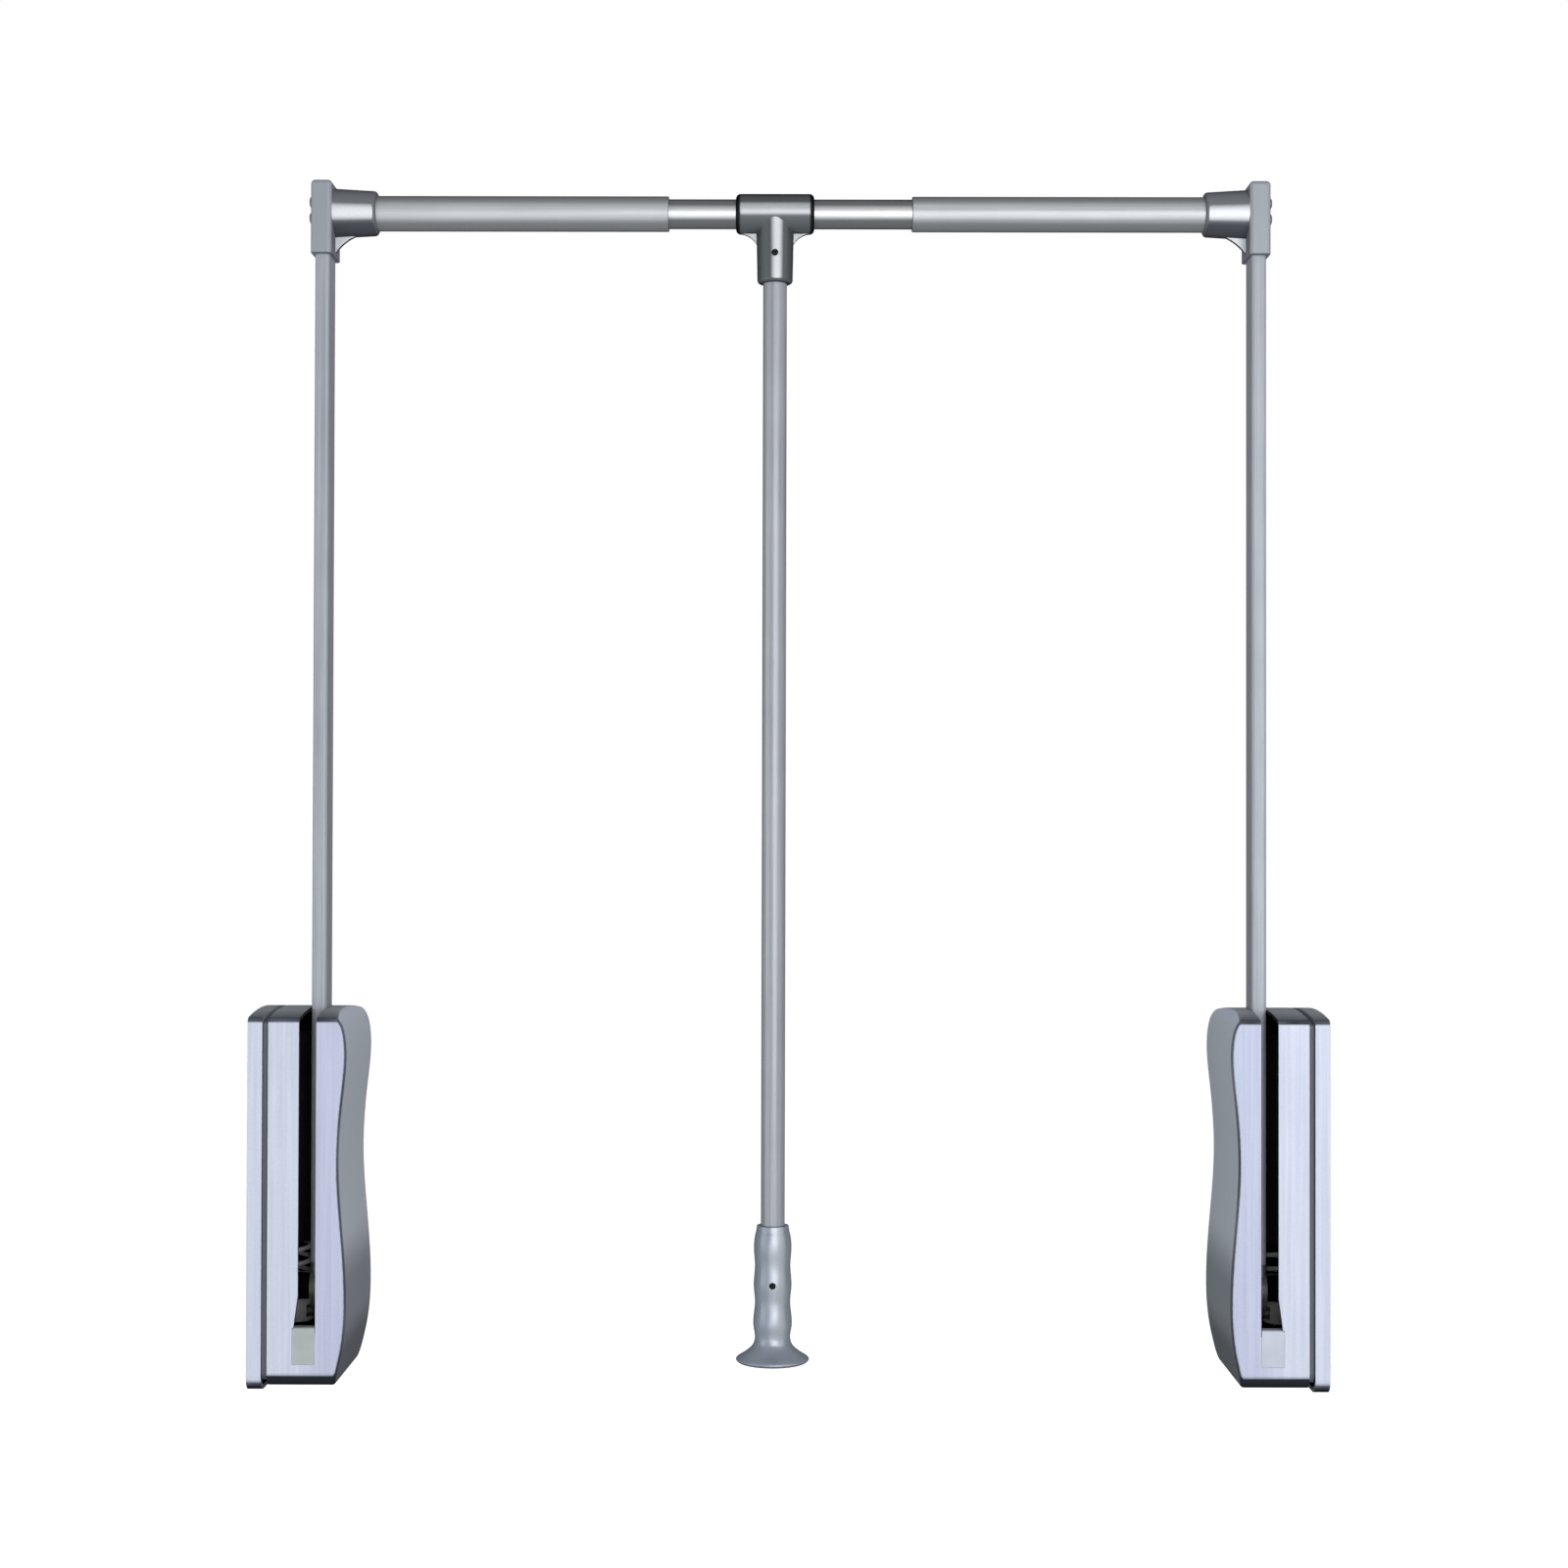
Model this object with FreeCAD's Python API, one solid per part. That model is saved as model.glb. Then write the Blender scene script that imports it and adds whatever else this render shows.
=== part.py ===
import FreeCAD, Part
import math
import os

# Pull-down wardrobe rail, in millimetres. +Z is up and -Y is the front. X = 0 lies midway between
# the two wall faces, Y = 0 on the arm pivots, Z = 0 at the lowest point of the wall plates.
# The left side is modelled and the right side mirrors it.

Vector = FreeCAD.Vector
ORIGIN = Vector(0, 0, 0)
ALONG_X = Vector(1, 0, 0)
ALONG_Y = Vector(0, 1, 0)
ALONG_Z = Vector(0, 0, 1)

# Overall sizes
wall_to_wall = 750.0
rail_height = 830.0
swing_degrees = 97.0
overrun = 20.0

# Fits
press_gap = 0.03
running_gap = 0.08
slide_gap = 0.3
free_gap = 0.6

# Wall plate
plate_depth = 106.0
plate_high = 258.0
plate_crown = 4.5
plate_corner = 5.0
plate_foot_round = 10.0
plate_base = 4.0
plate_rim_height = 10.4
plate_rim_wall = 3.0
mount_hole = 5.2
mount_head = 10.0
mount_head_depth = 2.0
mount_spacing_depth = 84.0
mount_spacing_height = 190.0
mount_centre_height = 131.0

# Housing cover, measured from the wall face along X
cover_lift = 3.0
cover_wall = 2.5
cover_thickness = 69.6
cover_groove = 4.0
cover_groove_depth = 3.2
cover_tongue = 5.0
cover_edge = 2.6
cover_post_radius = 4.6
cover_post_inset = 8.0
cover_post_reach = 30.0
cover_post_heights = (88.0, 205.0)
cover_screw_radius = 1.75
cover_screw_head = 3.4
cover_screw_length = 18.0
# Height share of the plate and thickness share of the cover along the wavy inner side
cover_wave_shares = (
    (-0.05, 0.80), (0.045, 0.903), (0.12, 0.964), (0.265, 0.993), (0.43, 0.953),
    (0.60, 0.913), (0.79, 0.955), (0.905, 0.988), (0.955, 0.972), (0.985, 0.938), (1.005, 0.88), (1.03, 0.75))

# Front slot and stop pad
slot_width = 12.0
slot_back = 14.5
slot_flare = 3.0
slot_flare_height = 22.0
pad_width = 15.6
pad_height = 25.4
pad_top = 44.2
pad_depth = 11.0
pad_offset = -2.2
pad_lip = 2.0
pad_round = 4.0

# Arm
arm_from_wall = 41.8
arm_width = 10.6
arm_depth = 25.0
arm_wall = 1.5
arm_corner = 2.6
arm_foot_above_pivot = 19.0
arm_top_below_block = 8.0

# Pivot and lever
axle_radius = 5.0
axle_boss_radius = 9.0
bush_wall = 2.0
bush_flange = 4.0
bush_flange_thickness = 0.8
clip_radius = 8.5
clip_thickness = 1.2
clip_groove = 0.8
clip_mouth = 6.4
lever_hub_radius = 16.0
lever_ear_radius = 8.5
lever_tongue = 62.0
crank_radius = 28.0
crank_pin_radius = 3.0
axle_end_boss_radius = 8.5
axle_end_boss_length = 9.0

# Lift spring with its sleeve and carriage
spring_from_wall = 20.0
spring_behind_pivot = 23.5
spring_outer = 24.0
spring_wire = 3.4
spring_turns = 19
spring_foot = 64.0
spring_head = 244.0
spring_bend = 3.6
sleeve_outer = 29.0
sleeve_bore = 25.8
sleeve_foot = 93.0
sleeve_saddle_heights = (118.0, 214.0)
sleeve_saddle_length = 14.0
sleeve_saddle_reach = 9.0
spring_shelf = 6.0
carriage_radius = 12.5
carriage_foot = 35.0
carriage_floor = 2.0
carriage_key_width = 8.0
guide_rib = 3.6
guide_rib_height = 3.6
guide_low = 24.0
linkage_play = 1.5

# Return damper
damper_from_wall = 54.4
damper_radius = 4.8
damper_foot = 112.0
damper_head = 236.0
damper_rod_radius = 1.8
damper_gland = 6.0
damper_bore_radius = 3.5
damper_piston = 5.0
damper_piston_drop = 12.0
damper_fork_height = 18.0
damper_fork_width = 21.2
damper_fork_thickness = 7.0
damper_saddle_heights = (140.0, 216.0)
damper_saddle_length = 10.0

# Corner connector
block_width = 15.0
block_depth = 37.0
block_height = 52.0
block_above_rail = 20.5
block_round = 3.0
socket_length = 30.2
socket_root_radius = 17.9
socket_mouth_radius = 15.7
socket_lip = 2.5
gusset_thickness = 3.6
gusset_length = 19.0
side_screw_radius = 2.0
side_screw_head_radius = 4.2
side_screw_head = 3.6
side_screw_recess = 1.3
side_screw_recess_depth = 1.4
side_screw_rise = 8.0
side_screw_drop = 3.4

# Rail tubes
outer_tube_radius = 12.5
outer_tube_wall = 1.2
outer_tube_end = 87.0
outer_tube_lip = 0.5
bush_length = 30.0
inner_tube_radius = 10.5
inner_tube_wall = 1.2
inner_tube_length = 344.0

# Tee, pull rod and grip
tee_offset = -11.0
tee_length = 56.0
tee_radius = 14.3
tee_round = 3.4
tee_drop = 50.0
tee_root_radius = 13.6
tee_mouth_radius = 12.6
tee_mouth_round = 2.4
tee_floor = 2.0
tee_rib = 3.2
tee_rib_reach = 10.5
tee_rib_drop = 12.0
tee_screw_drop = 30.0
pull_rod_radius = 8.5
pull_rod_wall = 1.2
grip_foot = 10.6
grip_length = 97.0
grip_radius = 26.0
grip_floor = 16.0
grip_screw_height = 66.5
cross_screw_radius = 1.6
cross_screw_head_radius = 2.3
cross_screw_sink = 0.8
cross_screw_head = 1.6
# Height share of the grip's length and share of its flange radius, from the foot up
grip_flange_shares = (
    (0.0, 0.885), (0.008, 0.965), (0.019, 1.0), (0.052, 0.875), (0.080, 0.72), (0.110, 0.59), (0.138, 0.52))
grip_body_shares = (
    (0.138, 0.52), (0.186, 0.484), (0.261, 0.524), (0.45, 0.484), (0.557, 0.519), (0.705, 0.486),
    (0.815, 0.513), (0.92, 0.489), (0.958, 0.455))
grip_collar_share = 0.433

# Places worked out from the sizes above
wall_face = -wall_to_wall / 2
front_face = -plate_depth / 2
arm_plane = wall_face + arm_from_wall
below_level = math.radians(swing_degrees - 90.0)
pivot_height = (pad_top + slide_gap + plate_depth / 2 * math.tan(below_level)
                + arm_depth / 2 / math.cos(below_level))
half_swing = math.radians(swing_degrees / 2)
pin_back = crank_radius * math.cos(half_swing)
pin_low = pivot_height - crank_radius * math.sin(half_swing)
pin_travel = 2 * crank_radius * math.sin(half_swing)
spring_plane = wall_face + spring_from_wall
damper_plane = wall_face + damper_from_wall
block_top = rail_height + block_above_rail
block_foot = block_top - block_height
arm_foot = pivot_height + arm_foot_above_pivot
arm_top = block_top - arm_top_below_block
lever_near = arm_plane - arm_width / 2
lever_far = arm_plane + arm_width / 2
bush_radius = axle_radius + running_gap + bush_wall
socket_start = arm_plane + block_width / 2
socket_mouth = socket_start + socket_length
pin_slot_half = crank_pin_radius + linkage_play
pin_slot_reach = (crank_radius - pin_back) / 2 + crank_pin_radius + free_gap
pin_slot_middle = (crank_radius + pin_back) / 2


# Basic solids

def box(x_range, y_range, z_range):
    low = Vector(x_range[0], y_range[0], z_range[0])
    return Part.makeBox(x_range[1] - x_range[0], y_range[1] - y_range[0], z_range[1] - z_range[0], low)


def about(centre, width):
    return (centre - width / 2, centre + width / 2)


def bar(radius, start, end):
    return Part.makeCylinder(radius, (end - start).Length, start, end - start)


def pipe(radius, wall, start, end):
    return bar(radius, start, end).cut(bar(radius - wall, start, end))


def cone(start_radius, end_radius, start, end):
    return Part.makeCone(start_radius, end_radius, (end - start).Length, start, end - start)


def prism(edges, travel):
    return Part.Face(Part.Wire(edges)).extrude(travel)


def edges_along(solid, direction):
    return [edge for edge in solid.Edges
            if isinstance(edge.Curve, Part.Line) and abs(edge.Curve.Direction.dot(direction)) > 0.999]


def edges_at(solid, axis, place):
    """Edges whose whole box lies at one place on an axis."""
    low = axis + "Min"
    high = axis + "Max"
    near = running_gap
    return [edge for edge in solid.Edges
            if abs(getattr(edge.BoundBox, low) - place) < near
            and abs(getattr(edge.BoundBox, high) - place) < near]


def rounded_bar(x_range, y_range, z_range, radius):
    """Upright bar with its four upright edges rounded."""
    solid = box(x_range, y_range, z_range)
    return solid.makeFillet(radius, edges_along(solid, ALONG_Z))


def cross_screw(place):
    """Screw seen from the front, with its axis along Y and its head at the given place."""
    inside = place + ALONG_Y * (cross_screw_head + pull_rod_wall + cross_screw_sink)
    head = bar(cross_screw_head_radius, place, place + ALONG_Y * cross_screw_head)
    head = head.makeFillet(cross_screw_sink / 2, edges_at(head, "Y", place.y))
    return head.fuse(bar(cross_screw_radius, place, inside)).removeSplitter()


# Housing

def side_outline(inset, lift, x_range):
    """Housing as seen from the side: upright front and back, arched top, flat foot with large rounds."""
    half = plate_depth / 2 - inset
    low = lift + inset
    high = plate_high - inset
    corners = [Vector(x_range[0], y, z) for y, z in ((-half, low), (-half, high), (half, high), (half, low))]
    crest = Vector(x_range[0], 0, high + plate_crown)
    edges = [
        Part.LineSegment(corners[0], corners[1]).toShape(),
        Part.Arc(corners[1], crest, corners[2]).toShape(),
        Part.LineSegment(corners[2], corners[3]).toShape(),
        Part.LineSegment(corners[3], corners[0]).toShape()]
    solid = prism(edges, ALONG_X * (x_range[1] - x_range[0]))
    upper = [edge for edge in edges_along(solid, ALONG_X) if edge.BoundBox.ZMin > plate_high / 2]
    solid = solid.makeFillet(plate_corner - inset / 2, upper)
    lower = [edge for edge in edges_along(solid, ALONG_X) if edge.BoundBox.ZMax < plate_high / 2]
    return solid.makeFillet(plate_foot_round - inset / 2, lower)


def wavy_block(inset):
    """Block of the full depth whose inner side is the wave, drawn in by the inset."""
    points = [Vector(wall_face + share * cover_thickness - inset, -plate_depth, height * plate_high)
              for height, share in cover_wave_shares]
    wave = Part.BSplineCurve()
    wave.interpolate(points)
    outer_low = Vector(wall_face, -plate_depth, points[0].z)
    outer_high = Vector(wall_face, -plate_depth, points[-1].z)
    edges = [
        Part.LineSegment(outer_low, points[0]).toShape(),
        wave.toShape(),
        Part.LineSegment(points[-1], outer_high).toShape(),
        Part.LineSegment(outer_high, outer_low).toShape()]
    return prism(edges, ALONG_Y * (2 * plate_depth))


def cover_shell():
    rim = wall_face + plate_rim_height
    body_start = rim + cover_groove
    far = wall_face + cover_thickness + overrun
    body = side_outline(0, cover_lift, (body_start, far)).common(wavy_block(0))
    front_edges = [edge for edge in edges_at(body, "Y", front_face)
                   if edge.BoundBox.XMin > body_start + cover_edge]
    body = body.makeFillet(cover_edge, front_edges)
    neck = side_outline(cover_groove_depth, cover_lift, (rim - cover_tongue, body_start))
    hollow = side_outline(cover_wall, cover_lift, (body_start + cover_wall, far))
    hollow = hollow.common(wavy_block(cover_wall))
    throat = side_outline(
        cover_groove_depth + cover_wall, cover_lift, (rim - cover_tongue, body_start + cover_wall))
    return body.fuse(neck).cut(hollow).cut(throat)


def slot_cut():
    across = about(arm_plane, slot_width)
    top = plate_high + overrun
    front = box(across, (front_face - overrun, front_face + overrun), (pad_top - pad_round, top))
    roof = box(across, (front_face - overrun, slot_back), (plate_high - overrun, top))
    return front.fuse(roof).fuse(slot_foot(across[0]))


def slot_foot(edge):
    """The wall-side edge of the slot flares out above the stop pad."""
    start = front_face - overrun
    points = [Vector(edge, start, pad_top + slot_flare_height), Vector(edge, start, pad_top - pad_round),
              Vector(edge - slot_flare, start, pad_top - pad_round), Vector(edge - slot_flare, start, pad_top)]
    return prism([Part.makePolygon(points + points[:1])], ALONG_Y * (overrun + cover_wall + free_gap))


def pad_window(gap):
    middle = arm_plane + pad_offset
    return box(about(middle, pad_width + 2 * gap), (front_face - overrun, front_face + cover_wall + gap),
               (pad_top - pad_height - gap, pad_top + gap))


def post_places():
    reach = plate_depth / 2 - cover_post_inset
    return [(side * reach, height) for side in (-1, 1) for height in cover_post_heights]


def cover_posts():
    """Screw posts on the front and back walls, each on its own web."""
    start = wall_face + plate_base + press_gap
    end = wall_face + cover_post_reach
    posts = None
    for y, z in post_places():
        wall = math.copysign(plate_depth / 2 - cover_wall / 2, y)
        web_start = wall_face + plate_rim_height + cover_groove + cover_wall
        web = box((web_start, end), (min(y, wall), max(y, wall)), about(z, cover_post_radius))
        post = bar(cover_post_radius, Vector(start, y, z), Vector(end, y, z)).fuse(web)
        posts = post if posts is None else posts.fuse(post)
    return posts


def cover_screw_holes(radius):
    start = wall_face
    end = start + plate_base + cover_screw_length
    holes = [bar(radius, Vector(start, y, z), Vector(end, y, z)) for y, z in post_places()]
    return Part.makeCompound(holes)


def damper_saddles():
    """Clips on the wavy wall that hold the damper's barrel."""
    saddles = []
    for height in damper_saddle_heights:
        saddle = box((damper_plane, wall_face + cover_thickness),
                     about(spring_behind_pivot, 2 * damper_radius), about(height, damper_saddle_length))
        saddles.append(saddle.common(wavy_block(cover_wall / 2)))
    barrel = bar(damper_radius + press_gap, Vector(damper_plane, spring_behind_pivot, damper_foot),
                 Vector(damper_plane, spring_behind_pivot, damper_head))
    return Part.makeCompound(saddles).cut(barrel)


def housing_cover():
    bore_start = lever_far + bush_flange_thickness + 2 * clip_thickness
    pivot = Vector(0, 0, pivot_height)
    boss_start = Vector(bore_start + clip_thickness, 0, 0) + pivot
    boss_end = Vector(wall_face + cover_thickness, 0, 0) + pivot
    boss = bar(axle_end_boss_radius, boss_start, boss_end).common(wavy_block(cover_wall / 2))
    cover = cover_shell().fuse(boss).fuse(cover_posts())
    for saddle in damper_saddles().Solids:
        cover = cover.fuse(saddle)
    axle_end = Vector(boss_start.x + axle_end_boss_length, 0, pivot_height)
    cover = cover.cut(bar(axle_radius + running_gap, boss_start, axle_end))
    cover = cover.cut(slot_cut()).cut(pad_window(press_gap))
    return cover.cut(cover_screw_holes(cover_screw_radius + press_gap)).removeSplitter()


def mount_places():
    ys = about(0, mount_spacing_depth)
    zs = about(mount_centre_height, mount_spacing_height)
    return [(y, z) for y in ys for z in zs]


def plate_holes():
    head_start = wall_face + plate_base - mount_head_depth
    holes = []
    for y, z in mount_places():
        holes.append(bar(mount_hole / 2, Vector(wall_face, y, z), Vector(wall_face + plate_base, y, z)))
        holes.append(bar(mount_head / 2, Vector(head_start, y, z), Vector(wall_face + plate_base, y, z)))
    return Part.makeCompound(holes)


def cover_screw_seats():
    holes = []
    for y, z in post_places():
        back = Vector(wall_face, y, z)
        holes.append(bar(cover_screw_radius + running_gap, back, back + ALONG_X * plate_base))
        holes.append(cone(cover_screw_head + running_gap, cover_screw_radius + running_gap, back,
                          back + ALONG_X * (plate_base / 2)))
    return Part.makeCompound(holes)


def carriage_guides():
    """Two upright ribs that keep the carriage square."""
    start = wall_face + plate_base
    half = carriage_key_width / 2 + slide_gap
    ribs = []
    for side in (-1, 1):
        edge = spring_behind_pivot + side * half
        outer = edge + side * guide_rib
        ribs.append(box((start, start + guide_rib_height), (min(edge, outer), max(edge, outer)),
                        (guide_low, sleeve_foot - free_gap)))
    return ribs


def sleeve_saddles():
    start = wall_face + plate_base
    axis_low = Vector(spring_plane, spring_behind_pivot, 0)
    axis_high = axis_low + ALONG_Z * plate_high
    groove = bar(sleeve_outer / 2 + press_gap, axis_low, axis_high)
    saddles = []
    for height in sleeve_saddle_heights:
        block = box((start, start + sleeve_saddle_reach), about(spring_behind_pivot, sleeve_outer),
                    about(height, sleeve_saddle_length))
        saddles.append(block.cut(groove))
    shelf = box((start, spring_plane + sleeve_outer / 2), about(spring_behind_pivot, sleeve_outer),
                (spring_head + press_gap, spring_head + spring_shelf))
    saddles.append(shelf.makeFillet(spring_shelf / 2, edges_along(shelf, ALONG_Z)))
    return saddles


def wall_plate():
    base = side_outline(0, 0, (wall_face, wall_face + plate_rim_height))
    tray = side_outline(plate_rim_wall, 0, (wall_face + plate_base, wall_face + plate_rim_height))
    plate = base.cut(tray)
    centre = Vector(wall_face + plate_base, 0, pivot_height)
    boss_end = Vector(lever_near - bush_flange_thickness - running_gap, 0, pivot_height)
    plate = plate.fuse(cone(axle_boss_radius + plate_base / 2, axle_boss_radius, centre, boss_end))
    for piece in carriage_guides() + sleeve_saddles():
        plate = plate.fuse(piece)
    axle_start = Vector(wall_face + plate_base / 2, 0, pivot_height)
    plate = plate.cut(bar(axle_radius + press_gap, axle_start, boss_end))
    return plate.cut(plate_holes()).cut(cover_screw_seats()).removeSplitter()


def cover_screws():
    screws = []
    for y, z in post_places():
        back = Vector(wall_face, y, z)
        head = cone(cover_screw_head, cover_screw_radius, back, back + ALONG_X * (plate_base / 2))
        shank = bar(cover_screw_radius, back, back + ALONG_X * cover_screw_length)
        screws.append(head.fuse(shank).removeSplitter())
    return Part.makeCompound(screws)


def stop_pad():
    """Nylon pad with a lip behind the front wall and a rounded seat for the arm."""
    middle = arm_plane + pad_offset
    heights = (pad_top - pad_height, pad_top)
    nose = box(about(middle, pad_width), (front_face + press_gap, front_face + pad_depth), heights)
    seat_edges = [edge for edge in edges_along(nose, ALONG_X) if edge.BoundBox.ZMin > heights[0] + pad_round]
    nose = nose.makeFillet(pad_round / 2, seat_edges)
    lip_start = front_face + cover_wall + press_gap
    lip_low = heights[0] - pad_lip
    lip = box(about(middle, pad_width + 2 * pad_lip), (lip_start, front_face + pad_depth),
              (lip_low, pad_top - pad_round))
    return nose.fuse(lip).removeSplitter()


# Pivot, lever and crank

def pivot_axle():
    start = Vector(wall_face + plate_base / 2 + press_gap, 0, pivot_height)
    end_boss = lever_far + bush_flange_thickness + 3 * clip_thickness + axle_end_boss_length
    axle = bar(axle_radius, start, Vector(end_boss - slide_gap, 0, pivot_height))
    axle = axle.makeChamfer(clip_groove, edges_at(axle, "X", end_boss - slide_gap))
    return axle.cut(clip_ring(axle_radius + overrun))


def clip_ring(outer):
    start = Vector(lever_far + bush_flange_thickness + clip_thickness / 2, 0, pivot_height)
    end = start + ALONG_X * clip_thickness
    return bar(outer, start, end).cut(bar(axle_radius - clip_groove, start, end))


def axle_clip():
    """Open retaining ring in the axle's groove."""
    ring = clip_ring(clip_radius)
    shrink = running_gap / 2
    box_x = (lever_far, lever_far + cover_thickness)
    mouth = box(box_x, about(0, clip_mouth), (pivot_height - clip_radius * 2, pivot_height))
    low = ring.BoundBox.XMin + shrink
    high = ring.BoundBox.XMax - shrink
    side = 2 * clip_radius
    return ring.cut(mouth).common(box((low, high), (-side, side), (pivot_height - side, pivot_height + side)))


def axle_bushes():
    pieces = []
    for face, inward in ((lever_near, 1), (lever_far, -1)):
        rim = Vector(face - inward * bush_flange_thickness, 0, pivot_height)
        seat = Vector(face, 0, pivot_height)
        end = Vector(arm_plane - inward * running_gap, 0, pivot_height)
        bush = bar(bush_radius + bush_flange, rim, seat).fuse(bar(bush_radius, rim, end))
        pieces.append(bush.cut(bar(axle_radius + running_gap, rim, end)).removeSplitter())
    return Part.makeCompound(pieces)


def link_outline(start, start_radius, end, end_radius, x):
    """Two round ends joined by their outer tangents, in the plane of the arm."""
    run = end - start
    lean = math.atan2(run.z, run.y)
    open_angle = math.acos((start_radius - end_radius) / run.Length)

    def rim(centre, radius, angle):
        return Vector(x, centre.y + radius * math.cos(angle), centre.z + radius * math.sin(angle))

    first = lean + open_angle
    second = lean - open_angle
    return [
        Part.LineSegment(rim(start, start_radius, first), rim(end, end_radius, first)).toShape(),
        Part.Arc(rim(end, end_radius, first), rim(end, end_radius, lean),
                 rim(end, end_radius, second)).toShape(),
        Part.LineSegment(rim(end, end_radius, second), rim(start, start_radius, second)).toShape(),
        Part.Arc(rim(start, start_radius, second), rim(start, start_radius, lean + math.pi),
                 rim(start, start_radius, first)).toShape()]


def arm_lever():
    """Cast hub with the crank ear behind it and the tongue that fills the foot of the arm."""
    pivot = Vector(0, 0, pivot_height)
    pin = Vector(0, pin_back, pin_low)
    outline = link_outline(pivot, lever_hub_radius, pin, lever_ear_radius, lever_near)
    lever = prism(outline, ALONG_X * arm_width)
    gap = arm_wall + press_gap
    tongue = rounded_bar(about(arm_plane, arm_width - 2 * gap), about(0, arm_depth - 2 * gap),
                         (pivot_height, arm_foot + lever_tongue), arm_corner - arm_wall)
    shoulder = rounded_bar(about(arm_plane, arm_width), about(0, arm_depth),
                           (pivot_height, arm_foot - press_gap), arm_corner)
    lever = lever.fuse(tongue).fuse(shoulder)
    near = Vector(lever_near, 0, 0)
    far = Vector(lever_far, 0, 0)
    lever = lever.cut(bar(bush_radius + press_gap, near + pivot, far + pivot))
    return lever.cut(bar(crank_pin_radius + press_gap, near + pin, far + pin)).removeSplitter()


def crank_pin():
    start = spring_plane - carriage_radius + carriage_floor + free_gap
    end = damper_plane + damper_fork_thickness / 2 + free_gap
    pin = bar(crank_pin_radius, Vector(start, pin_back, pin_low), Vector(end, pin_back, pin_low))
    return pin.makeChamfer(free_gap, edges_at(pin, "X", start) + edges_at(pin, "X", end))


def arm_tube():
    heights = (arm_foot, arm_top)
    outer = rounded_bar(about(arm_plane, arm_width), about(0, arm_depth), heights, arm_corner)
    inner = rounded_bar(about(arm_plane, arm_width - 2 * arm_wall), about(0, arm_depth - 2 * arm_wall),
                        heights, arm_corner - arm_wall)
    return outer.cut(inner).cut(side_screw_shanks(side_screw_radius + running_gap))


# Lift spring

def spring_path():
    """Helix as half-turn biarcs, with each end bent straight up or down."""
    radius = (spring_outer - spring_wire) / 2
    rise = spring_wire + spring_bend
    low = spring_foot + rise
    high = spring_head - rise
    pitch = (high - low) / spring_turns
    slope = math.atan2(pitch, 2 * math.pi * radius)

    def place(turn):
        angle = 2 * math.pi * turn
        return Vector(spring_plane + radius * math.cos(angle), spring_behind_pivot + radius * math.sin(angle),
                      low + pitch * turn)

    def heading(turn):
        angle = 2 * math.pi * turn
        flat = Vector(-math.sin(angle), math.cos(angle), 0)
        return flat * math.cos(slope) + ALONG_Z * math.sin(slope)

    edges = spring_end(place(0), heading(0), slope, -1)
    for half in range(2 * spring_turns):
        edges += biarc(place(half / 2), heading(half / 2), place(half / 2 + 1 / 2), heading(half / 2 + 1 / 2))
    return edges + spring_end(place(spring_turns), heading(spring_turns), slope, 1)


def spring_end(start, heading, slope, way):
    """Bend from the helix to upright, then a straight run of one wire thickness."""
    flat = (heading - ALONG_Z * math.sin(slope)).normalize() * way
    up = ALONG_Z * way
    lift = up * math.cos(slope) * spring_bend
    centre = start - flat * (math.sin(slope) * spring_bend) + lift
    corner = centre + flat * spring_bend
    turn = (start - centre) + (corner - centre)
    middle = centre + turn.normalize() * spring_bend
    tip = corner + up * (spring_foot_gap(corner, way))
    bend = Part.Arc(start, middle, corner).toShape()
    run = Part.LineSegment(corner, tip).toShape()
    if way > 0:
        return [bend, run]
    return [Part.LineSegment(tip, corner).toShape(), Part.Arc(corner, middle, start).toShape()]


def spring_foot_gap(corner, way):
    """Straight run left between the bend and the seat."""
    seat = spring_head if way > 0 else spring_foot
    return abs(seat - corner.z)


def biarc(start, start_heading, end, end_heading):
    """Two arcs that share a tangent and keep the headings at both ends."""
    chord = end - start
    headings = start_heading + end_heading
    bend = 2 * (1 - start_heading.dot(end_heading))
    along = chord.dot(headings)
    reach = (math.sqrt(along * along + bend * chord.dot(chord)) - along) / bend
    first = start + start_heading * reach
    second = end - end_heading * reach
    joint = (first + second) / 2
    return [arc_through(start, first, joint), arc_through(joint, second, end)]


def arc_through(start, corner, end):
    weight = (end - start).Length / 2 / (corner - start).Length
    middle = (start + corner * (2 * weight) + end) / (2 * (1 + weight))
    return Part.Arc(start, middle, end).toShape()


def lift_spring():
    edges = spring_path()
    path = Part.Wire(edges)
    first = edges[0].valueAt(edges[0].FirstParameter)
    profile = Part.Wire(Part.makeCircle(spring_wire / 2, first, ALONG_Z))
    print("spring gap to itself", round(spring_gap(path), 2))
    return path.makePipeShell([profile], True, False)


def spring_gap(path):
    """Least clear distance between points of the wire that lie over half a turn apart."""
    points = path.discretize(40 * spring_turns)
    step = path.Length / len(points)
    apart = int(math.pi * spring_outer / 2 / step)
    least = min((a - b).Length for i, a in enumerate(points) for b in points[i + apart:i + 4 * apart])
    return least - spring_wire


def spring_sleeve():
    low = Vector(spring_plane, spring_behind_pivot, sleeve_foot)
    high = Vector(spring_plane, spring_behind_pivot, spring_head)
    return bar(sleeve_outer / 2, low, high).cut(bar(sleeve_bore / 2, low, high))


def pin_slot(x_range):
    """Slot that lets the crank pin run fore and aft."""
    return box(x_range, about(pin_slot_middle, 2 * pin_slot_reach), about(pin_low, 2 * pin_slot_half))


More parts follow.
